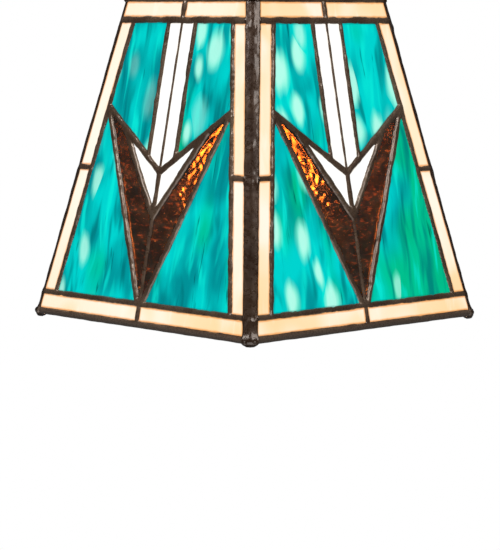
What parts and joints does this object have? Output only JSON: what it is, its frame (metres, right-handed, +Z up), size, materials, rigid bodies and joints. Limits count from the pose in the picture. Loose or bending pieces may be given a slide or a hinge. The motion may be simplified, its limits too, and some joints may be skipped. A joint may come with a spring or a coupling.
{
  "type": "leaded glass pendant shade",
  "caption": "Square tapering leaded glass lamp shade with an arrow pattern, a metal cap and hanging nipple, and a screw socket with its bulb.",
  "frame": {"origin": "centre of the hanging nipple's free end, on the shade's axis", "axes": "+Z up along the nipple and the shade's axis; the four glass sides face -Y (front), +X (right), +Y (back) and -X (left)"},
  "size_m": [0.2104, 0.2104, 0.2455],
  "materials": {
    "cream_glass": "opalescent, gently rippled",
    "teal_glass": "opalescent, mottled and wispy",
    "white_glass": "opalescent",
    "amber_glass": "hammered, transparent",
    "solder": "dark bronze patina, lumpy bead",
    "bronze": "dark bronze patina",
    "aged_brass": "dark aged brass",
    "socket_brass": "satin",
    "plated_steel": "zinc plated",
    "liner_fibre": "pressed fibre",
    "moulded_black": "moulded",
    "bulb_glass": "inside frosted",
    "bulb_metal": "rolled",
    "black_glass": "glossy",
    "stem_glass": "clear",
    "filament_wire": "drawn wire",
    "foot_solder": "tinned"
  },
  "bodies": {
    "shade_and_socket": {"border_strips_front": "cream_glass", "side_strips_front": "cream_glass", "upper_teal_front": "teal_glass", "lower_teal_front": "teal_glass", "white_bars_front": "white_glass", "white_arrow_front": "white_glass", "amber_wings_front": "amber_glass", "solder_seams_front": "solder", "border_strips_right": "cream_glass", "side_strips_right": "cream_glass", "upper_teal_right": "teal_glass", "lower_teal_right": "teal_glass", "white_bars_right": "white_glass", "white_arrow_right": "white_glass", "amber_wings_right": "amber_glass", "solder_seams_right": "solder", "border_strips_back": "cream_glass", "side_strips_back": "cream_glass", "upper_teal_back": "teal_glass", "lower_teal_back": "teal_glass", "white_bars_back": "white_glass", "white_arrow_back": "white_glass", "amber_wings_back": "amber_glass", "solder_seams_back": "solder", "border_strips_left": "cream_glass", "side_strips_left": "cream_glass", "upper_teal_left": "teal_glass", "lower_teal_left": "teal_glass", "white_bars_left": "white_glass", "white_arrow_left": "white_glass", "amber_wings_left": "amber_glass", "solder_seams_left": "solder", "corner_bead_front_right": "solder", "corner_bead_back_right": "solder", "corner_bead_back_left": "solder", "corner_bead_front_left": "solder", "bottom_rim": "solder", "top_rim": "solder", "cap": "bronze", "hanging_nipple": "aged_brass", "top_washer": "aged_brass", "top_lock_nut": "aged_brass", "inner_washer": "aged_brass", "inner_lock_nut": "aged_brass", "socket_cap": "socket_brass", "socket_set_screw": "plated_steel", "socket_shell": "socket_brass", "socket_liner": "liner_fibre", "socket_body": "moulded_black", "socket_screw_shell": "socket_brass", "socket_contact": "socket_brass", "terminal_screws": "socket_brass"},
    "bulb_foot": {"bulb_foot_contact": "foot_solder"},
    "bulb": {"bulb_glass": "bulb_glass", "bulb_screw_base": "bulb_metal", "bulb_insulator": "black_glass", "bulb_stem": "stem_glass", "bulb_filament": "filament_wire"}
  },
  "joints": [
    {"name": "bulb_travel", "type": "slide", "parent": "shade_and_socket", "child": "bulb_foot", "axis": [0, 0, -1], "range_m": [0, 0.01453]},
    {"name": "bulb_turn", "type": "hinge", "parent": "bulb_foot", "child": "bulb", "pos_m": [0, 0, -0.1065], "axis": [0, 0, -1], "range_deg": [0, 1440]}
  ],
  "couplings": [
    {"joint": "bulb_travel", "follows": "bulb_turn", "m_per_rad": 0.00057773}
  ]
}
